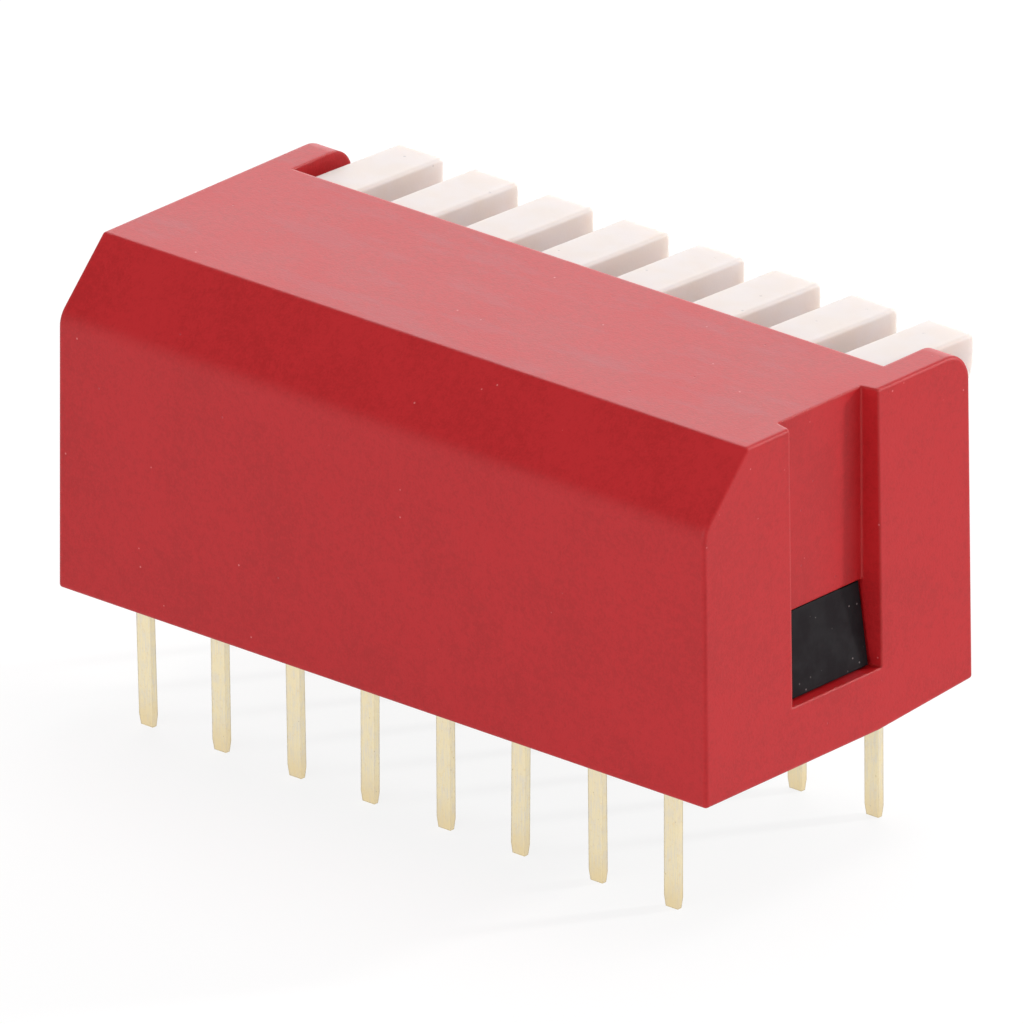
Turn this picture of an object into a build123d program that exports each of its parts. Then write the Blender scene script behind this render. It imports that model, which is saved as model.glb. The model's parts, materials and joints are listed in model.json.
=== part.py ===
from build123d import *

import os
from math import cos, radians, sin, sqrt

# Side-actuated (piano key) DIP switch for a printed circuit board.
# Units are millimetres. X runs along the row of keys, -Y is the front, where the
# keys stand out, and +Z is up. The origin is the centre of the pin pattern, on the
# seating plane under the housing.

# ---------------------------------------------------------------- driving sizes
positions = 8                # keys in the row
pitch = 2.54                 # key to key, and pin to pin along a row
row_spacing = 7.62           # front pin row to back pin row

# Housing: one red moulding, open underneath and in front of the keys.
end_margin = 0.74            # housing beyond the last key's cell, each end
front_reach = 5.31           # pin pattern centre to the front of the ears
back_reach = 4.86            # pin pattern centre to the back wall
body_height = 9.22
end_wall = 0.98
side_wall = 0.60
roof_wall = 0.80
chamfer_wall = 0.70
end_draft = 0.09             # each end leans in by this over the height
back_draft = 0.05            # the back wall leans in by this up to the chamfer
chamfer_run = 1.73
chamfer_rise = 1.78
chamfer_low_round = 0.70
roof_front = 3.05            # pin pattern centre to the roof's front edge
front_wall_top = 5.30        # the keys' lower stop
ear_round = 0.80
relief_start = 1.75          # the front of the underside lifts from here
relief_rise = 0.28
corner_round = 0.10          # outside edges of the moulding

# A latch window in each end, and the channel that runs up from one of them.
latch_offset = -0.14         # centre of the latch, from the pin pattern centre
channel_end = -1             # the end that has the channel
channel_mouth = 3.42
channel_depth = 0.58
channel_slope = 0.12         # each side leans in by this over the depth
window_low = 1.69
window_high = 4.00
arm_recess = 0.20            # pocket in the end wall for the latch arm
arm_clearance = 0.05
barb_low_inset = 0.30        # end face of the housing to the barb, at its foot
barb_high_inset = 0.62       # and at its top
barb_clearance = 0.06

# Base: one black moulding that carries the terminals.
base_bottom = 0.55
base_fit = 0.04              # base to the housing walls
floor_top = 2.25
post_depth = 3.00            # front to back, also the latch arm's width
post_gap = 0.05              # post top to the housing rib above it
spine_length = 15.0
spine_width = 2.0
seal_bottom = 0.31

# Terminals: plated strip, a wide bent head and a narrow blade.
strip = 0.20
pad_width = 0.90
pad_top = 1.93
pad_gap = 0.34               # between the two pads under one key
shoulder_low = 1.05
blade_width = 0.46
pin_length = 3.55            # below the seating plane
tip_taper = 0.30
tip_width = 0.40
tip_strip = 0.14
bend_round = 0.24
# Sideways set of each tip, as left by handling.
front_tip_set = (0.00, 0.03, -0.02, 0.02, 0.00, -0.03, 0.04, -0.02)
back_tip_set = (0.02, -0.01, 0.06, 0.01, 0.03, -0.04, -0.03, -0.08)

# Keys: one white rocker each, with its trunnions.
key_width = 1.50
side_clearance = 0.12        # key to the ribs and posts beside it
pivot_height = 5.60
travel = 17.0                # degrees from up to down
hub_radius = 1.15
trunnion_radius = 0.50
trunnion_reach = 0.45        # beyond the key's side
bearing_clearance = 0.05
trunnion_end_gap = 0.05
roof_clearance = 0.05        # neck to the roof, the keys' upper stop
step_clearance = 0.15        # raised nose to the roof's front edge
stop_clearance = 0.05        # nose to the front wall when down
nose_reach = 6.85            # pin pattern centre to the tip
nose_below_roof = 0.26       # housing's top to the nose's top, at the step
nose_fall = 0.13             # the nose's top falls by this to the tip
nose_low_round = 1.10
nose_top_round = 0.14
nose_edge_round = 0.10       # along the nose's sides and down its tip

# Contact ball and its spring, in the rocker's arm.
ball_radius = 0.45
ball_swing = 3.20            # pivot to ball centre
pocket_clearance = 0.03
pocket_top = 0.80            # pivot to the pocket's closed end
arm_length = 3.30            # pivot to the arm's mouth
arm_thickness = 1.50
arm_round = 0.20
spring_radius = 0.36         # of the wire's centre line
spring_wire = 0.10           # diameter
spring_turns = 6
spring_seat_gap = 0.02

# ------------------------------------------------------------- sizes that follow
body_length = positions * pitch + 2 * end_margin
inner_end = body_length / 2 - end_wall
inner_front = -(front_reach - side_wall)
inner_back = back_reach - side_wall
roof_low = body_height - roof_wall
rib_width = pitch - key_width - 2 * side_clearance
window_width = channel_mouth - 2 * channel_slope
arm_outer = inner_end + arm_recess - arm_clearance
neck_top = roof_low - roof_clearance
nose_top = body_height - nose_below_roof
nose_tip_top = nose_top - nose_fall
step_y = -(roof_front + step_clearance)
arm_tilt = travel / 2
bearing_radius = trunnion_radius + bearing_clearance
last_key_side = (positions - 1) / 2 * pitch + key_width / 2
bearing_end = last_key_side + trunnion_reach + trunnion_end_gap
post_front = latch_offset - post_depth / 2
post_back = latch_offset + post_depth / 2
contact_y = (ball_swing + ball_radius) * sin(radians(travel - arm_tilt))
beyond = 1.0                 # how far a cutter runs past the surface it opens


def key_x(index):
    """X of a key's centre, counted from 0 at the -X end."""
    return (index - (positions - 1) / 2) * pitch


def block(x_span, y_span, z_span):
    """A box between two corners, given as three (low, high) pairs."""
    size = [high - low for low, high in (x_span, y_span, z_span)]
    centre = [(high + low) / 2 for low, high in (x_span, y_span, z_span)]
    return Pos(*centre) * Box(*size)


def outline(corners):
    """A flat face from (a, b, round) corners, each rounded by its own radius."""
    face = make_face(Polyline(*[(a, b) for a, b, _ in corners], close=True))
    for a, b, radius in corners:
        if radius > 0:
            corner = face.vertices().sort_by_distance((a, b, 0))[0]
            face = fillet(corner, radius)
    return face


def side_prism(corners, x_low, x_high):
    """A side view of (y, z, round) corners, as thick as the two X values are apart."""
    flat = Plane.YZ.offset(x_low) * outline(corners)
    return extrude(flat, x_high - x_low)


def front_prism(corners, y_low, y_high):
    """A front view of (x, z, round) corners, between two Y values."""
    flat = Plane.XZ.offset(-y_high) * outline(corners)
    return extrude(flat, y_high - y_low)


def rod(radius, x_low, x_high, y, z):
    """A cylinder that lies along X."""
    middle = Pos((x_low + x_high) / 2, y, z)
    return middle * Rot(0, 90, 0) * Cylinder(radius, x_high - x_low)


def about_pivot(y, z, degrees):
    """Where a (y, z) point of a key goes when the key turns by so many degrees."""
    turn = radians(degrees)
    up = z - pivot_height
    return y * cos(turn) - up * sin(turn), pivot_height + y * sin(turn) + up * cos(turn)


# ------------------------------------------------------------------------ housing
def housing_outside():
    """The moulding's outer form: side profile cut to the drafted ends."""
    shoulder = body_height - chamfer_rise
    profile = [
        (back_reach, 0, 0),
        (back_reach - back_draft, shoulder, chamfer_low_round),
        (back_reach - chamfer_run, body_height, 0),
        (-front_reach, body_height, ear_round),
        (-front_reach, relief_rise, 0),
        (-relief_start, 0, 0),
    ]
    half = body_length / 2
    ends = [
        (-half, 0, 0),
        (half, 0, 0),
        (half - end_draft, body_height, 0),
        (-half + end_draft, body_height, 0),
    ]
    long_profile = side_prism(profile, -half - beyond, half + beyond)
    solid = long_profile & front_prism(ends, -front_reach - beyond, back_reach + beyond)
    return fillet(solid.edges(), corner_round)


def housing_cavity():
    """The hollow under the roof, with the chamfer's wall kept at its own thickness."""
    slope = chamfer_rise / chamfer_run
    drop = chamfer_wall * sqrt(1 + slope * slope)
    # The chamfer's inner line is z = line_top - slope * (y - back_reach).
    line_top = body_height - chamfer_rise - drop
    inside = [
        (inner_front, -beyond, 0),
        (inner_back, -beyond, 0),
        (inner_back, line_top + slope * side_wall, 0),
        (back_reach - (roof_low - line_top) / slope, roof_low, 0),
        (inner_front, roof_low, 0),
    ]
    return side_prism(inside, -inner_end, inner_end)


def housing_ribs():
    """Walls between the keys, and a thin one at each end, above the base's posts."""
    profile = [
        (post_back, roof_low + roof_wall / 2, 0),
        (post_back, pivot_height + post_gap, 0),
        (post_front - base_fit, pivot_height + post_gap, 0),
        (post_front - base_fit, floor_top + base_fit, 0),
        (inner_front - side_wall / 2, floor_top + base_fit, 0),
        (inner_front - side_wall / 2, front_wall_top, 0),
        (-roof_front, front_wall_top, 0),
        (-roof_front, roof_low + roof_wall / 2, 0),
    ]
    ribs = []
    for index in range(positions - 1):
        middle = key_x(index) + pitch / 2
        ribs.append(side_prism(profile, middle - rib_width / 2, middle + rib_width / 2))
    end_face = last_key_side + side_clearance
    wall_middle = inner_end + end_wall / 4
    ribs.append(side_prism(profile, end_face, wall_middle))
    ribs.append(side_prism(profile, -wall_middle, -end_face))
    return ribs


def latch_channel(side):
    """The channel that runs up one end from its window; side is -1 or 1."""
    outside = side * (body_length / 2 + beyond)
    mouth = side * body_length / 2
    floor = side * (body_length / 2 - channel_depth)
    flare = channel_slope / channel_depth * beyond
    half = channel_mouth / 2
    plan = Polyline(
        (outside, latch_offset - half - flare),
        (mouth, latch_offset - half),
        (floor, latch_offset - half + channel_slope),
        (floor, latch_offset + half - channel_slope),
        (mouth, latch_offset + half),
        (outside, latch_offset + half + flare),
        close=True,
    )
    height = body_height + beyond - window_low
    return extrude(Plane.XY.offset(window_low) * make_face(plan), height)


def latch_window(side):
    """The window through one end wall that the base's barb springs into."""
    y_span = (latch_offset - window_width / 2, latch_offset + window_width / 2)
    x_span = sorted((side * (inner_end - beyond / 4), side * (body_length / 2 + beyond)))
    return block(x_span, y_span, (window_low, window_high))


def latch_pocket(side):
    """The recess inside one end wall that the base's latch arm stands in."""
    half = post_depth / 2 + arm_clearance
    y_span = (latch_offset - half, latch_offset + half)
    x_span = sorted((side * (inner_end - beyond / 4), side * (inner_end + arm_recess)))
    return block(x_span, y_span, (-beyond, pivot_height + post_gap))


def make_housing():
    """The red housing."""
    front_opening = block(
        (-inner_end, inner_end),
        (-front_reach - beyond, -roof_front),
        (front_wall_top, body_height + beyond),
    )
    shell = housing_outside() - housing_cavity() - front_opening
    for rib in housing_ribs():
        shell = shell + rib
    shell = shell - latch_channel(channel_end)
    for side in (-1, 1):
        shell = shell - latch_window(side)
        shell = shell - latch_pocket(side)
    return shell - rod(bearing_radius, -bearing_end, bearing_end, 0, pivot_height)


# ---------------------------------------------------------------------- terminals
def blade(x, y, tip_set):
    """The narrow pin below the shoulder, tapered both ways at its tip."""
    neck_low = -pin_length + tip_taper
    half = blade_width / 2
    tip_half = tip_width / 2
    lean = tip_set * (pin_length - tip_taper) / pin_length
    front_view = [
        (x - half, shoulder_low, 0),
        (x - half, 0, 0),
        (x - half + lean, neck_low, 0),
        (x - tip_half + tip_set, -pin_length, 0),
        (x + tip_half + tip_set, -pin_length, 0),
        (x + half + lean, neck_low, 0),
        (x + half, 0, 0),
        (x + half, shoulder_low, 0),
    ]
    side_view = [
        (y - strip / 2, shoulder_low, 0),
        (y - strip / 2, neck_low, 0),
        (y - tip_strip / 2, -pin_length, 0),
        (y + tip_strip / 2, -pin_length, 0),
        (y + strip / 2, neck_low, 0),
        (y + strip / 2, shoulder_low, 0),
    ]
    broad = front_prism(front_view, y - strip, y + strip)
    return broad & side_prism(side_view, x - 2 * blade_width, x + 2 * blade_width)


def make_terminal(index, side, tip_set):
    """A bent terminal; side is -1 in the front row and 1 in the back row."""
    x = key_x(index)
    y = side * row_spacing / 2
    outer = y + side * strip / 2
    inner = y - side * strip / 2
    pad_end = contact_y + side * pad_gap / 2
    head = [
        (pad_end, pad_top, 0),
        (outer, pad_top, bend_round),
        (outer, shoulder_low, 0),
        (inner, shoulder_low, 0),
        (inner, pad_top - strip, bend_round - strip),
        (pad_end, pad_top - strip, 0),
    ]
    wide = side_prism(head, x - pad_width / 2, x + pad_width / 2)
    return wide + blade(x, y, tip_set)


# ------------------------------------------------------------------ base and seal
def latch_barb(side):
    """The wedge that springs into an end window; its flat foot sits on the sill."""
    face = body_length / 2
    wedge = [
        (side * (inner_end - arm_clearance), window_low + barb_clearance, 0),
        (side * (face - barb_low_inset), window_low + barb_clearance, 0),
        (side * (face - barb_high_inset), window_high - barb_clearance, 0),
        (side * (inner_end - arm_clearance), window_high - barb_clearance, 0),
    ]
    return front_prism(wedge, post_front, post_back)


def base_posts():
    """Posts between the keys, and the two latch arms at the ends."""
    spans = []
    for index in range(positions - 1):
        middle = key_x(index) + pitch / 2
        spans.append((middle - rib_width / 2, middle + rib_width / 2))
    arm_face = last_key_side + side_clearance
    spans.append((arm_face, arm_outer))
    spans.append((-arm_outer, -arm_face))
    return [block(span, (post_front, post_back), (base_bottom, pivot_height)) for span in spans]


def make_base(terminals):
    """The black base: floor, posts, latch arms and the seating spine."""
    length = inner_end - base_fit
    y_span = (inner_front + base_fit, inner_back - base_fit)
    floor = block((-length, length), y_span, (base_bottom, floor_top))
    trough = block((-arm_outer, arm_outer), (post_front, post_back), (pad_top, floor_top + beyond))
    spine = block(
        (-spine_length / 2, spine_length / 2),
        (-spine_width / 2, spine_width / 2),
        (0, base_bottom),
    )
    body = floor - trough + spine
    for post in base_posts():
        body = body + post
    body = body + latch_barb(-1) + latch_barb(1)
    body = body - rod(bearing_radius, -bearing_end, bearing_end, 0, pivot_height)
    for terminal in terminals:
        body = body - terminal
    return body


def make_seal(terminals):
    """The potting under the base, round the blades and the seating spine."""
    plate = block((-inner_end, inner_end), (inner_front, inner_back), (seal_bottom, base_bottom))
    plate = plate - block(
        (-spine_length / 2, spine_length / 2),
        (-spine_width / 2, spine_width / 2),
        (-beyond, beyond),
    )
    for terminal in terminals:
        plate = plate - terminal
    return plate


# --------------------------------------------------------- key, spring and ball
def key_side_view():
    """Neck and nose of a key at rest, in its up position."""
    down_floor = front_wall_top + stop_clearance
    low_inner = about_pivot(-hub_radius, down_floor, -travel)
    low_outer = about_pivot(-nose_reach, down_floor, -travel)
    low_slope = (low_outer[1] - low_inner[1]) / (low_outer[0] - low_inner[0])
    low_tip = low_outer[1] + low_slope * (-nose_reach - low_outer[0])
    rear = about_pivot(0, neck_top, -travel * 0.8)
    return [
        (0, neck_top, 0),
        (step_y, neck_top, 0),
        (step_y, nose_top, nose_top_round),
        (-nose_reach, nose_tip_top, nose_top_round),
        (-nose_reach, low_tip, nose_low_round),
        (low_inner[0], low_inner[1], 0),
        (0, pivot_height, 0),
        (hub_radius * 0.8, pivot_height, 0),
        (rear[0], rear[1], 0),
    ]


def make_key():
    """One white rocker on the YZ plane: nose, neck, hub, trunnions and hollow arm."""
    half = key_width / 2
    body = side_prism(key_side_view(), -half, half)
    nose = body.edges().filter_by_position(Axis.Y, -nose_reach - beyond, step_y - nose_top_round)
    upper = nose.filter_by_position(Axis.Z, neck_top, nose_top + beyond)
    sides = upper.filter_by_position(Axis.X, -half, -half) + upper.filter_by_position(Axis.X, half, half)
    body = fillet(sides, nose_edge_round)
    body = body + rod(hub_radius, -half, half, 0, pivot_height)
    arm = [
        (-arm_thickness / 2, 0, 0),
        (-arm_thickness / 2, -arm_length, arm_round),
        (arm_thickness / 2, -arm_length, arm_round),
        (arm_thickness / 2, 0, 0),
    ]
    body = body + in_arm(side_prism(arm, -half, half))
    reach = half + trunnion_reach
    body = body + rod(trunnion_radius, -reach, reach, 0, pivot_height)
    depth = arm_length - pocket_top + beyond
    pocket = Cylinder(ball_radius + pocket_clearance, depth)
    return body - in_arm(Pos(0, 0, -pocket_top - depth / 2) * pocket)


def in_arm(shape):
    """Puts a shape drawn under the origin onto the tilted arm under the pivot."""
    return Pos(0, 0, pivot_height) * Rot(-arm_tilt, 0, 0) * shape


def make_ball():
    """The contact ball in the arm's mouth."""
    return in_arm(Pos(0, 0, -ball_swing) * Sphere(ball_radius))


def make_spring():
    """The coil between the pocket's end and the ball."""
    seat = ball_radius + spring_wire / 2 + spring_seat_gap
    low = -ball_swing + sqrt(seat * seat - spring_radius * spring_radius)
    high = -pocket_top - spring_wire / 2 - spring_seat_gap
    length = high - low
    path = Helix(pitch=length / spring_turns, height=length, radius=spring_radius)
    section = Plane(origin=path @ 0, z_dir=path % 0) * Circle(spring_wire / 2)
    wire = sweep(section, path=path, is_frenet=True)
    return in_arm(Pos(0, 0, low) * wire)


# ---------------------------------------------------------------------- the parts
def write(shape, node):
    """One STEP file for one named node."""
    export_step(shape, "parts/" + node + ".step")


def main():
    """Builds every piece and writes its file."""
    os.makedirs("parts", exist_ok=True)
    terminals = []
    for index in range(positions):
        front = make_terminal(index, -1, front_tip_set[index])
        back = make_terminal(index, 1, back_tip_set[index])
        write(front, f"front_terminal_{index + 1}")
        write(back, f"back_terminal_{index + 1}")
        terminals += [front, back]
    write(make_housing(), "housing")
    write(make_base(terminals), "base")
    write(make_seal(terminals), "bottom_seal")
    key = make_key()
    spring = make_spring()
    ball = make_ball()
    for index in range(positions):
        place = Pos(key_x(index), 0, 0)
        write(place * key, f"key_{index + 1}")
        write(place * spring, f"key_spring_{index + 1}")
        write(place * ball, f"contact_ball_{index + 1}")


main()
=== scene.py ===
"""Finish of a piano-type DIP switch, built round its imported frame.

The frame gives every piece its size and place. This script dresses the carried-over pieces, models the
finer ones again, and sets up the pale studio that the switch stands in.
"""

import json
import logging
import math
from dataclasses import dataclass, field
from enum import Enum
from typing import Any, Iterable, Sequence

import bmesh
import bpy
from mathutils import Matrix, Vector


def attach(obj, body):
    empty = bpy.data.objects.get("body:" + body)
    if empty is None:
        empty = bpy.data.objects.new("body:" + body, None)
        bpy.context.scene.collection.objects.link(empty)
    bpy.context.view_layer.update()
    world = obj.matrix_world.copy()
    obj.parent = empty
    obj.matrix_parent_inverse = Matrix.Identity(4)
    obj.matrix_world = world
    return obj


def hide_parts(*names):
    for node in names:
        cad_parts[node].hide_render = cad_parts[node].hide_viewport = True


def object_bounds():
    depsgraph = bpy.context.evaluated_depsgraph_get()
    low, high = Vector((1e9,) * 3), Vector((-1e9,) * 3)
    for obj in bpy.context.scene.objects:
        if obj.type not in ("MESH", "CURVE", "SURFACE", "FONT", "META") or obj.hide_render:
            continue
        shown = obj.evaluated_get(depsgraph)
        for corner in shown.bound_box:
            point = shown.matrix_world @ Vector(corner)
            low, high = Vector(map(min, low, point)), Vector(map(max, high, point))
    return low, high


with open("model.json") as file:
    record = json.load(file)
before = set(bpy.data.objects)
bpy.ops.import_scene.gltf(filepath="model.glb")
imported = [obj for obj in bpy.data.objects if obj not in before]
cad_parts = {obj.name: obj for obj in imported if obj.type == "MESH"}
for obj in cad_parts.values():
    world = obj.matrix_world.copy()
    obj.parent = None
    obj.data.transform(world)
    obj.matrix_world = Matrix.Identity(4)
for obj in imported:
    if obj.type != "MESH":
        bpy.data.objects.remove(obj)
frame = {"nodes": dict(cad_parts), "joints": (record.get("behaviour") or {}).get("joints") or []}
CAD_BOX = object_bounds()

MM = 0.001
POSITIONS = len(frame["joints"])  # each has one key and a pin in both rows
Colour = tuple[float, float, float]
log = logging.getLogger("dip_switch")


class Row(Enum):
    """The two rows of pins: the front one is under the keys' tips."""

    FRONT = "front"
    BACK = "back"


class Ray(Enum):
    """Kinds of ray that the backdrop answers with plain white."""

    CAMERA = "Is Camera Ray"
    GLOSSY = "Is Glossy Ray"
    TRANSMISSION = "Is Transmission Ray"


# ------------------------------------------------------------------- node trees
class Socket:
    """A socket of a shader or geometry tree that Python's operators work on."""

    def __init__(self, tree: "Tree", socket: bpy.types.NodeSocket | None) -> None:
        """Wraps one output socket.

        Args:
            tree: the tree that the socket is in.
            socket: the output to wrap, or None for a node that has none.
        """
        self.tree = tree
        self.socket = socket

    def math(self, operation: str, *others: Any) -> "Socket":
        """Puts this value, and the others given, through one Math node.

        Args:
            operation: the node's operation.
            others: numbers or sockets for its further inputs.

        Returns:
            The node's result.
        """
        return self.tree.add("ShaderNodeMath", {"operation": operation}, [self, *others])

    def swapped(self, operation: str, other: Any) -> "Socket":
        """The same with the other value first, for numbers on the left.

        Args:
            operation: the node's operation.
            other: the number that comes first.

        Returns:
            The node's result.
        """
        return self.tree.add("ShaderNodeMath", {"operation": operation}, [other, self])

    def __add__(self, other: Any) -> "Socket":
        """This plus other."""
        return self.math("ADD", other)

    __radd__ = __add__

    def __sub__(self, other: Any) -> "Socket":
        """This minus other."""
        return self.math("SUBTRACT", other)

    def __rsub__(self, other: Any) -> "Socket":
        """Other minus this."""
        return self.swapped("SUBTRACT", other)

    def __mul__(self, other: Any) -> "Socket":
        """This times other."""
        return self.math("MULTIPLY", other)

    __rmul__ = __mul__

    def __truediv__(self, other: Any) -> "Socket":
        """This over other."""
        return self.math("DIVIDE", other)

    def ramp(self, low: float, high: float) -> "Socket":
        """A smooth step from 0 at low to 1 at high.

        Args:
            low: the value that gives 0.
            high: the value that gives 1; it may be under low.

        Returns:
            The stepped value, clamped to 0 to 1.
        """
        settings = {"interpolation_type": "SMOOTHSTEP"}
        return self.tree.add("ShaderNodeMapRange", settings, {0: self, 1: low, 2: high})


class Tree:
    """A node tree with one method that makes any node."""

    def __init__(self, nodes: bpy.types.NodeTree) -> None:
        """Wraps an empty node tree.

        Args:
            nodes: the tree to fill.
        """
        self.nodes = nodes

    def add(self, kind: str, settings: dict[str, Any] | None = None,
            values: dict[Any, Any] | Sequence[Any] = (), out: int | str = 0) -> Socket:
        """Makes a node, sets it up, then fills its sockets.

        Args:
            kind: the node's type name.
            settings: attributes to set first.
            values: numbers, colours or sockets for the inputs, by place or by name.
            out: the output to return.

        Returns:
            The chosen output, or an empty Socket for a node with no outputs.
        """
        node = self.nodes.nodes.new(kind)
        for name, value in (settings or {}).items():
            setattr(node, name, value)
        pairs = values.items() if isinstance(values, dict) else enumerate(values)
        for place, value in pairs:
            if isinstance(value, Socket):
                self.nodes.links.new(value.socket, node.inputs[place])
            else:
                node.inputs[place].default_value = value
        return Socket(self, node.outputs[out] if len(node.outputs) else None)


class Shader(Tree):
    """A material's or a world's tree, with the few patterns that the finishes share."""

    def where(self) -> Socket:
        """The point on the piece, in metres, in the row frame."""
        return self.add("ShaderNodeTexCoord", out="Object")

    def noise(self, size: float, detail: float = 2.0, rough: float = 0.5, offset: float = 0.0) -> Socket:
        """Soft noise of 0 to 1 with spots about as large as size.

        Args:
            size: the spots' width in metres.
            detail: octaves of finer noise.
            rough: how strong the finer noise is.
            offset: a shift in metres that gives another pattern.

        Returns:
            The noise value.
        """
        shift = self.add("ShaderNodeVectorMath", {"operation": "ADD"}, [self.where(), (offset,) * 3])
        fields = {"Vector": shift, "Scale": 1 / size, "Detail": detail, "Roughness": rough}
        return self.add("ShaderNodeTexNoise", {"noise_dimensions": "3D"}, fields)

    def specks(self, spacing: float, size: float, share: float, offset: float = 0.0) -> Socket:
        """A mask of small round specks.

        Args:
            spacing: the mean distance between cells in metres.
            size: a speck's radius in metres.
            share: the share of cells that hold one.
            offset: a shift in metres that gives another pattern.

        Returns:
            1 on a speck and 0 elsewhere, with soft edges.
        """
        shift = self.add("ShaderNodeVectorMath", {"operation": "ADD"}, [self.where(), (offset,) * 3])
        cells = self.add("ShaderNodeTexVoronoi", {"feature": "F1"}, {"Vector": shift, "Scale": 1 / spacing})
        node = cells.socket.node
        chance = self.add("ShaderNodeSeparateColor", {}, [Socket(self, node.outputs["Color"])])
        chosen = chance.math("LESS_THAN", share)
        radius = size / spacing
        return Socket(self, node.outputs["Distance"]).ramp(radius, radius * 0.5) * chosen

    def soft_normal(self, radius: float) -> Socket:
        """The surface normal with every edge rounded off.

        Args:
            radius: the rounding in metres.

        Returns:
            The rounded normal.
        """
        return self.add("ShaderNodeBevel", {"samples": 6}, {"Radius": radius})

    def edges(self, radius: float) -> Socket:
        """A mask of the edges and corners.

        Args:
            radius: how far from an edge the mask reaches, in metres.

        Returns:
            1 along edges, fading to 0 about radius away from them.
        """
        plain = self.add("ShaderNodeNewGeometry", out="Normal")
        settings = {"operation": "DOT_PRODUCT"}
        dot = self.add("ShaderNodeVectorMath", settings, [plain, self.soft_normal(radius)], out="Value")
        return dot.ramp(0.995, 0.80)

    def tint(self, amount: Socket | float, under: Any, over: Any) -> Socket:
        """Mixes two colours; amount 0 gives the first and 1 the second.

        Args:
            amount: the share of the second colour.
            under: a colour or a colour socket.
            over: a colour or a colour socket.

        Returns:
            The mixed colour.
        """
        paint = [c if isinstance(c, Socket) else (*c, 1.0) for c in (under, over)]
        settings = {"data_type": "RGBA", "blend_type": "MIX"}
        return self.add("ShaderNodeMix", settings, {0: amount, 6: paint[0], 7: paint[1]}, out=2)

    def bump(self, height: Socket, distance: float, normal: Socket, strength: float = 1.0) -> Socket:
        """Adds relief to a normal.

        Args:
            height: the relief's height, as a share of distance.
            distance: the full relief in metres; negative cuts inwards.
            normal: the normal to start from.
            strength: how much of the relief to use.

        Returns:
            The bumped normal.
        """
        fields = {"Strength": strength, "Distance": distance, "Height": height, "Normal": normal}
        return self.add("ShaderNodeBump", {}, fields)


def new_material(name: str) -> tuple[bpy.types.Material, Shader]:
    """An empty material and its tree.

    Args:
        name: the material's name.

    Returns:
        The material and its wrapped tree.
    """
    material = bpy.data.materials.new(name)
    material.use_nodes = True
    material.node_tree.nodes.clear()
    return material, Shader(material.node_tree)


def close_material(tree: Shader, fields: dict[str, Any]) -> None:
    """Ends a material in a Principled surface.

    Args:
        tree: the material's tree.
        fields: numbers, colours or sockets for the surface, by name.
    """
    surface = tree.add("ShaderNodeBsdfPrincipled", {}, fields)
    tree.add("ShaderNodeOutputMaterial", {}, {"Surface": surface})


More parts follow.
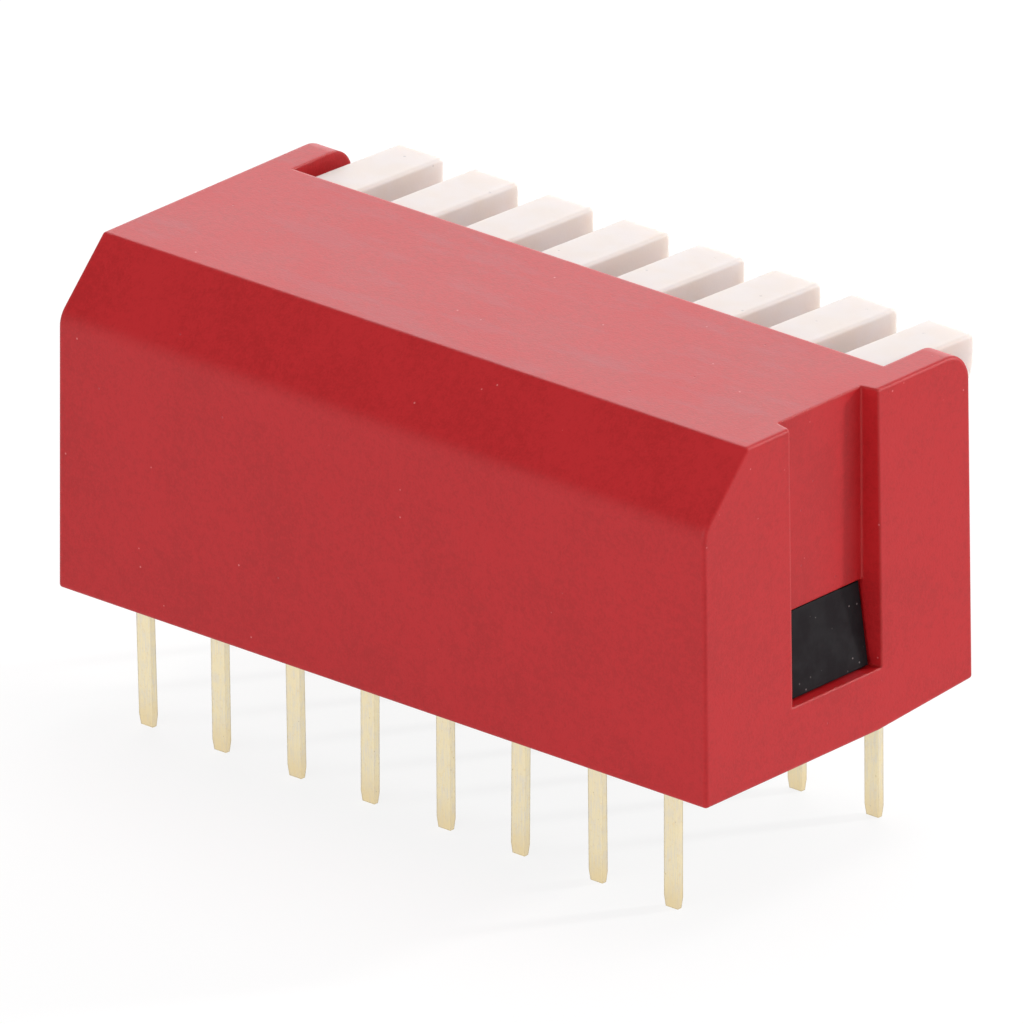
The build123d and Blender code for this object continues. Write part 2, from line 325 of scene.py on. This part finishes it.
# --------------------------------------------------------------------- finishes
@dataclass(frozen=True)
class RedMoulding:
    """The housing's matte red plastic, with the mould's fine grain, a little handling dust and a painted
    highlight along its edges.
    """

    colour: Colour = (0.500, 0.0085, 0.013)
    deep: Colour = (0.425, 0.0050, 0.008)
    # lighter colour painted along the edges as a highlight
    edge: Colour = (0.62, 0.026, 0.020)
    dust: Colour = (0.74, 0.26, 0.26)
    smudge: Colour = (0.38, 0.045, 0.06)
    roughness: float = 0.45
    cloud_size: float = 2.4 * MM
    mottle_size: float = 0.20 * MM
    grain_size: float = 0.060 * MM
    grain_depth: float = 0.0046 * MM
    ripple_size: float = 1.8 * MM
    ripple_depth: float = 0.008 * MM
    dust_spacing: float = 0.42 * MM
    dust_size: float = 0.034 * MM
    pit_spacing: float = 0.60 * MM
    pit_size: float = 0.036 * MM
    pit_depth: float = 0.008 * MM
    streak_size: float = 1.1 * MM
    edge_round: float = 0.10 * MM

    def build(self) -> bpy.types.Material:
        """Makes the material.

        Returns:
            The finished material.
        """
        material, tree = new_material("red_moulding")
        cloud = tree.noise(self.cloud_size, detail=4.0, rough=0.60)
        mottle = tree.noise(self.mottle_size, rough=0.6, offset=5 * MM)
        grain = tree.noise(self.grain_size, rough=0.6, offset=9 * MM)
        ripple = tree.noise(self.ripple_size, detail=1.0, rough=0.4, offset=3 * MM)
        dust = tree.specks(self.dust_spacing, self.dust_size, share=0.16, offset=2 * MM)
        pits = tree.specks(self.pit_spacing, self.pit_size, share=0.16, offset=11 * MM)
        edge = tree.edges(self.edge_round)
        pattern = cloud * 0.35 + mottle * 0.30 + grain * 0.35
        body = tree.tint(pattern.ramp(0.38, 0.58), self.deep, self.colour)
        # painted highlight: every edge is tinted towards the lighter edge colour
        body = tree.tint(edge * 0.6, body, self.edge)
        body = tree.tint(self.streaks(tree, self.streak_size) * 0.30, body, self.smudge)
        body = tree.tint(pits * 0.5, body, self.smudge)
        body = tree.tint(dust * 0.55, body, self.dust)
        normal = tree.bump(ripple, self.ripple_depth, tree.soft_normal(self.edge_round))
        normal = tree.bump(grain, self.grain_depth, normal)
        normal = tree.bump(pits, -self.pit_depth, normal)
        rough = grain * 0.10 + cloud * 0.10 - edge * 0.12 + (self.roughness - 0.09)
        close_material(tree, {
            "Base Color": body, "Roughness": rough, "Normal": normal,
            "IOR": 1.50, "Specular IOR Level": 0.37,
        })
        return material

    @staticmethod
    def streaks(tree: Shader, size: float) -> Socket:
        """Faint rubbed streaks on faces that look up, where fingers and trays touch.

        Args:
            tree: the material's tree.
            size: the streaks' spacing in metres.

        Returns:
            A mask, 1 in the middle of a streak.
        """
        normal = tree.add("ShaderNodeNewGeometry", out="Normal")
        facing = tree.add("ShaderNodeSeparateXYZ", {}, [normal], out="Z")
        turned = tree.add("ShaderNodeMapping", {}, {
            "Vector": tree.where(), "Rotation": (0.0, 0.0, 0.5), "Scale": (0.45, 1.6, 1.0),
        })
        fields = {"Vector": turned, "Scale": 1 / size, "Detail": 4.0, "Roughness": 0.6}
        smear = tree.add("ShaderNodeTexNoise", {}, fields)
        return smear.ramp(0.50, 0.68) * facing.ramp(0.8, 0.95)


@dataclass(frozen=True)
class BlackMoulding:
    """The base's black plastic, a little dusty where it shows in the windows, with a painted highlight on
    its edges.
    """

    colour: Colour = (0.0095, 0.0065, 0.0085)
    # lighter colour: worn patches at random, and a painted highlight along the edges
    worn: Colour = (0.017, 0.015, 0.017)
    dust: Colour = (0.22, 0.19, 0.19)
    roughness: float = 0.50
    cloud_size: float = 0.7 * MM
    grain_size: float = 0.05 * MM
    grain_depth: float = 0.0020 * MM
    dust_spacing: float = 0.20 * MM
    dust_size: float = 0.032 * MM
    edge_round: float = 0.04 * MM

    def build(self) -> bpy.types.Material:
        """Makes the material.

        Returns:
            The finished material.
        """
        material, tree = new_material("black_moulding")
        cloud = tree.noise(self.cloud_size, detail=3.0, rough=0.6)
        grain = tree.noise(self.grain_size, rough=0.6, offset=4 * MM)
        dust = tree.specks(self.dust_spacing, self.dust_size, share=0.30, offset=1 * MM)
        body = tree.tint(cloud.ramp(0.35, 0.70), self.colour, self.worn)
        # painted highlight: every edge is tinted towards the lighter colour
        body = tree.tint(tree.edges(self.edge_round) * 0.5, body, self.worn)
        body = tree.tint(dust * cloud.ramp(0.42, 0.60) * 0.8, body, self.dust)
        normal = tree.bump(grain, self.grain_depth, tree.soft_normal(self.edge_round))
        close_material(tree, {
            "Base Color": body, "Roughness": cloud * 0.12 + (self.roughness - 0.06), "Normal": normal,
            "IOR": 1.45, "Specular IOR Level": 0.12,
        })
        return material


@dataclass(frozen=True)
class WhiteMoulding:
    """The keys' natural white plastic: slightly clear, with a few handling marks."""

    colour: Colour = (0.710, 0.645, 0.627)
    warm: Colour = (0.700, 0.622, 0.583)
    scuff: Colour = (0.42, 0.38, 0.40)
    gleam: Colour = (0.86, 0.82, 0.82)
    roughness: float = 0.42
    cloud_size: float = 1.1 * MM
    grain_size: float = 0.07 * MM
    grain_depth: float = 0.0022 * MM
    mark_spacing: float = 0.36 * MM
    mark_size: float = 0.050 * MM
    mark_depth: float = 0.006 * MM
    gleam_spacing: float = 0.50 * MM
    gleam_size: float = 0.040 * MM
    clearness: float = 0.60
    light_reach: float = 0.8 * MM
    light_colour: Colour = (1.0, 0.88, 0.75)
    edge_round: float = 0.07 * MM

    def build(self) -> bpy.types.Material:
        """Makes the material.

        Returns:
            The finished material.
        """
        material, tree = new_material("white_moulding")
        cloud = tree.noise(self.cloud_size)
        grain = tree.noise(self.grain_size, rough=0.6, offset=6 * MM)
        marks = tree.specks(self.mark_spacing, self.mark_size, share=0.20, offset=3 * MM)
        gleams = tree.specks(self.gleam_spacing, self.gleam_size, share=0.10, offset=7 * MM)
        body = tree.tint(cloud.ramp(0.35, 0.65), self.warm, self.colour)
        body = tree.tint(tree.edges(self.edge_round) * 0.4, body, self.gleam)
        body = tree.tint(marks * grain.ramp(0.40, 0.62) * 0.75, body, self.scuff)
        body = tree.tint(gleams * 0.6, body, self.gleam)
        normal = tree.bump(grain, self.grain_depth, tree.soft_normal(self.edge_round))
        normal = tree.bump(marks + gleams, -self.mark_depth, normal)
        close_material(tree, {
            "Base Color": body, "Roughness": cloud * 0.10 + (self.roughness - 0.05), "Normal": normal,
            "IOR": 1.50, "Specular IOR Level": 0.18, "Subsurface Weight": self.clearness,
            "Subsurface Radius": self.light_colour, "Subsurface Scale": self.light_reach,
        })
        return material


@dataclass(frozen=True)
class GoldPlate:
    """Thin pale gold over stamped strip: drawn lines along it, greyer where it is thin."""

    name: str = "gold_plate"
    colour: Colour = (0.86, 0.75, 0.50)
    thin: Colour = (0.76, 0.70, 0.58)
    rich: Colour = (0.78, 0.60, 0.31)
    pit: Colour = (0.50, 0.40, 0.24)
    roughness: float = 0.34
    line_size: float = 0.045 * MM
    line_depth: float = 0.0050 * MM
    cloud_size: float = 0.32 * MM
    spot_size: float = 0.07 * MM
    spot_depth: float = 0.0035 * MM
    pit_spacing: float = 0.16 * MM
    pit_size: float = 0.020 * MM
    pit_depth: float = 0.006 * MM
    tip_start: float = -2.4 * MM
    tip_end: float = -3.6 * MM
    edge_round: float = 0.07 * MM

    def build(self) -> bpy.types.Material:
        """Makes the material.

        Returns:
            The finished material.
        """
        material, tree = new_material(self.name)
        stretch = tree.add("ShaderNodeMapping", {}, {"Vector": tree.where(), "Scale": (1.0, 1.0, 0.10)})
        fields = {"Vector": stretch, "Scale": 1 / self.line_size, "Detail": 2.0}
        lines = tree.add("ShaderNodeTexNoise", {}, fields)
        cloud = tree.noise(self.cloud_size, detail=3.0, rough=0.6)
        spots = tree.noise(self.spot_size, rough=0.6, offset=2 * MM)
        pits = tree.specks(self.pit_spacing, self.pit_size, share=0.16, offset=6 * MM)
        up = tree.add("ShaderNodeSeparateXYZ", {}, [tree.where()], out="Z")
        tip = up.ramp(self.tip_start, self.tip_end)
        body = tree.tint((lines * 0.6 + cloud * 0.4).ramp(0.42, 0.64) * 0.8, self.colour, self.thin)
        body = tree.tint(tip * 0.5, body, self.rich)
        body = tree.tint(spots.ramp(0.56, 0.72) * 0.40, body, self.rich)
        body = tree.tint(pits * 0.6, body, self.pit)
        normal = tree.bump(lines, self.line_depth, tree.soft_normal(self.edge_round))
        normal = tree.bump(spots, self.spot_depth, normal)
        normal = tree.bump(pits, -self.pit_depth, normal)
        close_material(tree, {
            "Base Color": body, "Metallic": 1.0, "Normal": normal,
            "Roughness": lines * 0.12 + spots * 0.12 + (self.roughness - 0.10),
        })
        return material


@dataclass(frozen=True)
class PottingResin:
    """The dark resin on the underside, pulled up a little and glossy."""

    colour: Colour = (0.022, 0.018, 0.016)
    amber: Colour = (0.060, 0.040, 0.024)
    roughness: float = 0.18
    swell_size: float = 1.5 * MM
    swell_depth: float = 0.06 * MM
    pit_spacing: float = 0.8 * MM
    pit_size: float = 0.09 * MM
    pit_depth: float = 0.02 * MM

    def build(self) -> bpy.types.Material:
        """Makes the material.

        Returns:
            The finished material.
        """
        material, tree = new_material("potting_resin")
        swell = tree.noise(self.swell_size, detail=3.0)
        pits = tree.specks(self.pit_spacing, self.pit_size, share=0.2)
        body = tree.tint(swell.ramp(0.35, 0.7), self.colour, self.amber)
        normal = tree.add("ShaderNodeNewGeometry", out="Normal")
        normal = tree.bump(swell, self.swell_depth, normal)
        normal = tree.bump(pits, -self.pit_depth, normal)
        close_material(tree, {
            "Base Color": body, "Roughness": swell * 0.15 + self.roughness, "Normal": normal, "IOR": 1.55,
        })
        return material


@dataclass(frozen=True)
class SpringWire:
    """Drawn steel wire of the key springs."""

    colour: Colour = (0.56, 0.56, 0.57)
    dull: Colour = (0.40, 0.39, 0.38)
    roughness: float = 0.22
    cloud_size: float = 0.12 * MM
    cloud_depth: float = 0.002 * MM

    def build(self) -> bpy.types.Material:
        """Makes the material.

        Returns:
            The finished material.
        """
        material, tree = new_material("spring_wire")
        cloud = tree.noise(self.cloud_size, detail=3.0, rough=0.6)
        body = tree.tint(cloud.ramp(0.4, 0.65), self.colour, self.dull)
        normal = tree.add("ShaderNodeNewGeometry", out="Normal")
        normal = tree.bump(cloud, self.cloud_depth, normal)
        close_material(tree, {
            "Base Color": body, "Metallic": 1.0, "Normal": normal,
            "Roughness": cloud * 0.2 + self.roughness,
        })
        return material


# ----------------------------------------------------------------------- meshes
def paint(piece: bpy.types.Object, material: bpy.types.Material) -> None:
    """Gives a piece one material in place of what it has.

    Args:
        piece: the piece to finish.
        material: its new material.
    """
    piece.data.materials.clear()
    piece.data.materials.append(material)


def dress(names: Iterable[str], material: bpy.types.Material) -> None:
    """Finishes carried-over pieces and reports each.

    Args:
        names: the pieces' nodes.
        material: the material that they all get.
    """
    for name in names:
        paint(frame["nodes"][name], material)
        log.info("%s: carried over, finished in %s", name, material.name)


@dataclass
class KeySprings:
    """The coil in each key's hollow arm, wound again with closed ends."""

    wire: float = 0.10 * MM
    coil_radius: float = 0.36 * MM
    seat_below_pivot: float = 0.82 * MM
    length: float = 2.03 * MM
    turns: int = 8
    points_per_turn: int = 20
    wire_sides: int = 8

    def tree(self, material: bpy.types.Material) -> bpy.types.NodeTree:
        """The winding rule as a Geometry Nodes tree.

        Args:
            material: the wire's finish.

        Returns:
            The tree, with the coil's sizes as named inputs.
        """
        nodes = bpy.data.node_groups.new("wind_coil", "GeometryNodeTree")
        face = nodes.interface
        face.new_socket("Geometry", in_out="OUTPUT", socket_type="NodeSocketGeometry")
        for name in ("Wire", "Coil Radius", "Length", "Turns"):
            face.new_socket(name, in_out="INPUT", socket_type="NodeSocketFloat")
        for name in ("Place", "Turn"):
            face.new_socket(name, in_out="INPUT", socket_type="NodeSocketVector")
        tree = Tree(nodes)
        source = nodes.nodes.new("NodeGroupInput")
        given = {s.name: Socket(tree, s) for s in source.outputs if s.name}
        wire, turns = given["Wire"], given["Turns"]
        count = turns * self.points_per_turn
        line = tree.add("GeometryNodeCurvePrimitiveLine")
        points = tree.add("GeometryNodeResampleCurve", {"mode": "COUNT"}, {"Curve": line, "Count": count})
        along = tree.add("GeometryNodeSplineParameter", out="Factor") * turns
        angle = along * math.tau
        low_end = along.ramp(0.0, 1.0)
        high_end = (along - turns).ramp(-1.0, 0.0)
        middle = tree.add("ShaderNodeMapRange", {}, {0: along, 1: 1.0, 2: turns - 1})
        rise = wire * low_end + wire * high_end + (given["Length"] - 3 * wire) * middle
        x = angle.math("COSINE") * given["Coil Radius"]
        y = angle.math("SINE") * given["Coil Radius"]
        spot = tree.add("ShaderNodeCombineXYZ", {}, [x, y, rise])
        helix = tree.add("GeometryNodeSetPosition", {}, {"Geometry": points, "Position": spot})
        ring = tree.add("GeometryNodeCurvePrimitiveCircle", {}, {
            "Resolution": self.wire_sides, "Radius": wire / 2,
        })
        fields = {"Curve": helix, "Profile Curve": ring, "Fill Caps": True}
        tube = tree.add("GeometryNodeCurveToMesh", {}, fields)
        fields = {"Geometry": tube, "Translation": given["Place"], "Rotation": given["Turn"]}
        placed = tree.add("GeometryNodeTransform", {}, fields)
        whole = tree.add("GeometryNodeRealizeInstances", {}, {"Geometry": placed})
        dressed = tree.add("GeometryNodeSetMaterial", {}, {"Geometry": whole, "Material": material})
        tree.add("NodeGroupOutput", {}, [dressed])
        return nodes

    def build(self, material: bpy.types.Material) -> None:
        """Winds one spring for each key and lets it ride on that key's body.

        Args:
            material: the wire's finish.
        """
        rule = self.tree(material)
        for joint in frame["joints"]:
            body = joint["child"]
            node = body.replace("_rocker", "").replace("key_", "key_spring_")
            tilt = -math.radians(joint["range_deg"][1] / 2)
            drop = self.seat_below_pivot + self.length
            down = Matrix.Rotation(tilt, 3, "X") @ Vector((0, 0, -drop))
            inputs = {
                "Wire": self.wire, "Coil Radius": self.coil_radius, "Length": self.length,
                "Turns": float(self.turns), "Place": Vector(joint["pos_m"]) + down, "Turn": (tilt, 0, 0),
            }
            spring = bake(rule, inputs, f"wound_{node}")
            for face in spring.data.polygons:
                face.use_smooth = True
            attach(spring, body)
            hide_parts(node)
            log.info("%s: %d turns, rides on %s", spring.name, self.turns, body)


def bake(rule: bpy.types.NodeTree, inputs: dict[str, Any], name: str) -> bpy.types.Object:
    """Runs a Geometry Nodes tree once and keeps the result as a plain mesh.

    Args:
        rule: the tree to run.
        inputs: values for its named inputs.
        name: the finished piece's name.

    Returns:
        The finished piece, at the origin and linked to the scene.
    """
    holder = bpy.data.objects.new(name + "_holder", bpy.data.meshes.new(name + "_start"))
    bpy.context.scene.collection.objects.link(holder)
    modifier = holder.modifiers.new("rule", "NODES")
    modifier.node_group = rule
    for item in rule.interface.items_tree:
        if item.item_type == "SOCKET" and item.in_out == "INPUT" and item.name in inputs:
            modifier[item.identifier] = inputs[item.name]
    holder.update_tag()
    bpy.context.view_layer.update()
    graph = bpy.context.evaluated_depsgraph_get()
    mesh = bpy.data.meshes.new_from_object(holder.evaluated_get(graph))
    holder.modifiers.remove(modifier)
    bpy.data.objects.remove(holder)
    mesh.name = name
    piece = bpy.data.objects.new(name, mesh)
    bpy.context.scene.collection.objects.link(piece)
    return piece


# ------------------------------------------------------------------ sub-assemblies
@dataclass
class Casing:
    """The housing and the base that snaps into it, with the resin underneath."""

    red: RedMoulding = field(default_factory=RedMoulding)
    black: BlackMoulding = field(default_factory=BlackMoulding)
    resin: PottingResin = field(default_factory=PottingResin)

    def build(self) -> None:
        """Dresses the housing, the base and the resin."""
        dress(["housing"], self.red.build())
        dress(["base"], self.black.build())
        dress(["bottom_seal"], self.resin.build())


@dataclass
class PinRows:
    """The sixteen terminals."""

    plate: GoldPlate = field(default_factory=GoldPlate)

    def build(self) -> None:
        """Dresses every terminal of both rows."""
        gold = self.plate.build()
        for row in Row:
            dress([f"{row.value}_terminal_{i + 1}" for i in range(POSITIONS)], gold)


@dataclass
class KeyRow:
    """The white rockers, each with its spring and contact ball."""

    white: WhiteMoulding = field(default_factory=WhiteMoulding)
    wire: SpringWire = field(default_factory=SpringWire)
    plate: GoldPlate = field(default_factory=lambda: GoldPlate(name="ball_plate", roughness=0.22))
    springs: KeySprings = field(default_factory=KeySprings)

    def build(self) -> None:
        """Dresses the keys and balls, and winds the springs."""
        dress([f"key_{i + 1}" for i in range(POSITIONS)], self.white.build())
        dress([f"contact_ball_{i + 1}" for i in range(POSITIONS)], self.plate.build())
        self.springs.build(self.wire.build())


# ----------------------------------------------------------------------- studio
@dataclass(frozen=True)
class Lamp:
    """One soft lamp, given by where it stands as seen from the part."""

    name: str
    towards: tuple[float, float, float]
    level: float
    width: float
    colour: Colour = (1.0, 1.0, 1.0)
    distance: float = 0.5

    def build(self) -> bpy.types.Object:
        """Makes the lamp; level is the brightness it gives a white face that looks at it.

        Returns:
            The lamp, linked to the scene.
        """
        data = bpy.data.lights.new(self.name, "AREA")
        data.shape = "DISK"
        data.size = self.width
        data.color = self.colour
        data.energy = self.level * (math.pi * self.distance) ** 2
        lamp = bpy.data.objects.new(self.name, data)
        bpy.context.scene.collection.objects.link(lamp)
        aim = Vector(self.towards).normalized()
        lamp.location = aim * self.distance
        lamp.rotation_mode = "QUATERNION"
        lamp.rotation_quaternion = aim.to_track_quat("Z", "Y")
        lamp.visible_camera = False
        return lamp


@dataclass
class Studio:
    """Pale floor, white surroundings, lamps and the camera."""

    azimuth: float = 221.7
    elevation: float = 22.98
    roll: float = -0.43
    distance: float = 0.9506
    aim: tuple[float, float, float] = (-0.16 * MM, 0.0, 3.55 * MM)
    lens: float = 1328.3
    floor_size: float = 3.0
    floor_colour: Colour = (0.86, 0.86, 0.86)
    floor_tint: float = 0.985
    floor_cloud: float = 9 * MM
    floor_glow: float = 0.80
    glow_level: float = 1.06
    glow_near: float = 25 * MM
    glow_far: float = 60 * MM
    sky_low: float = 0.67
    sky_high: float = 0.33
    lamps: tuple[Lamp, ...] = (
        Lamp("key_lamp", (-0.52, -0.78, 0.35), 0.58, 0.05, (1.0, 0.985, 0.965)),
        Lamp("far_card", (0.61, -0.69, 0.40), 0.42, 0.44, (0.97, 0.985, 1.0)),
        Lamp("top_lamp", (0.0, -0.30, 0.95), 0.37, 0.35),
        Lamp("fill_card", (-0.06, 0.99, 0.10), 0.52, 0.50),
    )

    def build(self) -> None:
        """Sets up the whole studio."""
        self.floor()
        self.sky()
        for lamp in self.lamps:
            lamp.build()
            log.info("%s: level %.2f", lamp.name, lamp.level)
        self.camera()
        bpy.context.scene.view_settings.view_transform = "Standard"

    @staticmethod
    def seen_white(tree: Shader) -> Socket:
        """Tells the rays that should meet a plain white background.

        Args:
            tree: the tree that asks.

        Returns:
            1 for such rays and 0 for the rest.
        """
        node = tree.add("ShaderNodeLightPath").socket.node
        rays = [Socket(tree, node.outputs[ray.value]) for ray in Ray]
        return rays[0].math("MAXIMUM", rays[1]).math("MAXIMUM", rays[2])

    def floor(self) -> None:
        """A wide pale floor at the pins' tips that keeps the part's shadow."""
        material, tree = new_material("pale_floor")
        cloud = tree.noise(self.floor_cloud)
        dull = tuple(c * self.floor_tint for c in self.floor_colour)
        shade = tree.tint(cloud, self.floor_colour, dull)
        plain = tree.add("ShaderNodeBsdfDiffuse", {}, {"Color": shade})
        fields = {"Color": (1.0, 1.0, 1.0, 1.0), "Strength": self.glow_level}
        glow = tree.add("ShaderNodeEmission", {}, fields)
        far = tree.add("ShaderNodeVectorMath", {"operation": "LENGTH"}, [tree.where()], out="Value")
        share = far.ramp(self.glow_near, self.glow_far) * (1 - self.floor_glow) + self.floor_glow
        mixed = tree.add("ShaderNodeMixShader", {}, [share * self.seen_white(tree), plain, glow])
        tree.add("ShaderNodeOutputMaterial", {}, {"Surface": mixed})
        mesh = bpy.data.meshes.new("floor")
        form = bmesh.new()
        bmesh.ops.create_grid(form, x_segments=8, y_segments=8, size=self.floor_size)
        form.to_mesh(mesh)
        form.free()
        mesh.transform(Matrix.Translation((0, 0, CAD_BOX[0].z)))
        floor = bpy.data.objects.new("floor", mesh)
        bpy.context.scene.collection.objects.link(floor)
        paint(floor, material)

    def sky(self) -> None:
        """White surroundings that dim a little overhead."""
        world = bpy.data.worlds.new("surround")
        world.use_nodes = True
        world.node_tree.nodes.clear()
        tree = Shader(world.node_tree)
        direction = tree.add("ShaderNodeTexCoord", out="Generated")
        up = tree.add("ShaderNodeSeparateXYZ", {}, [direction], out="Z")
        level = up.ramp(0.10, 0.75) * (self.sky_high - self.sky_low) + self.sky_low
        camera = tree.add("ShaderNodeLightPath").socket.node.outputs[Ray.CAMERA.value]
        seen = Socket(tree, camera)
        strength = seen + (1 - seen) * level
        sky = tree.add("ShaderNodeBackground", {}, {"Color": (1.0, 1.0, 1.0, 1.0), "Strength": strength})
        tree.add("ShaderNodeOutputWorld", {}, {"Surface": sky})
        bpy.context.scene.world = world

    def camera(self) -> None:
        """The camera, at the usual product-shot distance for a long lens."""
        data = bpy.data.cameras.new("camera")
        data.lens = self.lens
        data.sensor_width = 36.0
        data.clip_start, data.clip_end = 0.05, 10.0
        camera = bpy.data.objects.new("camera", data)
        bpy.context.scene.collection.objects.link(camera)
        turn, lift = math.radians(self.azimuth), math.radians(self.elevation)
        back = Vector((math.sin(turn) * math.cos(lift), -math.cos(turn) * math.cos(lift), math.sin(lift)))
        camera.location = Vector(self.aim) + back * self.distance
        level = (-back).to_track_quat("-Z", "Y").to_matrix()
        look = level @ Matrix.Rotation(math.radians(self.roll), 3, "Z")
        camera.rotation_mode = "QUATERNION"
        camera.rotation_quaternion = look.to_quaternion()
        bpy.context.scene.camera = camera


def main() -> None:
    """Builds the switch's finish piece by piece, then the studio."""
    logging.basicConfig(level=logging.INFO, format="%(name)s: %(message)s")
    for assembly in (Casing(), PinRows(), KeyRow(), Studio()):
        assembly.build()


if __name__ == "__main__":
    main()
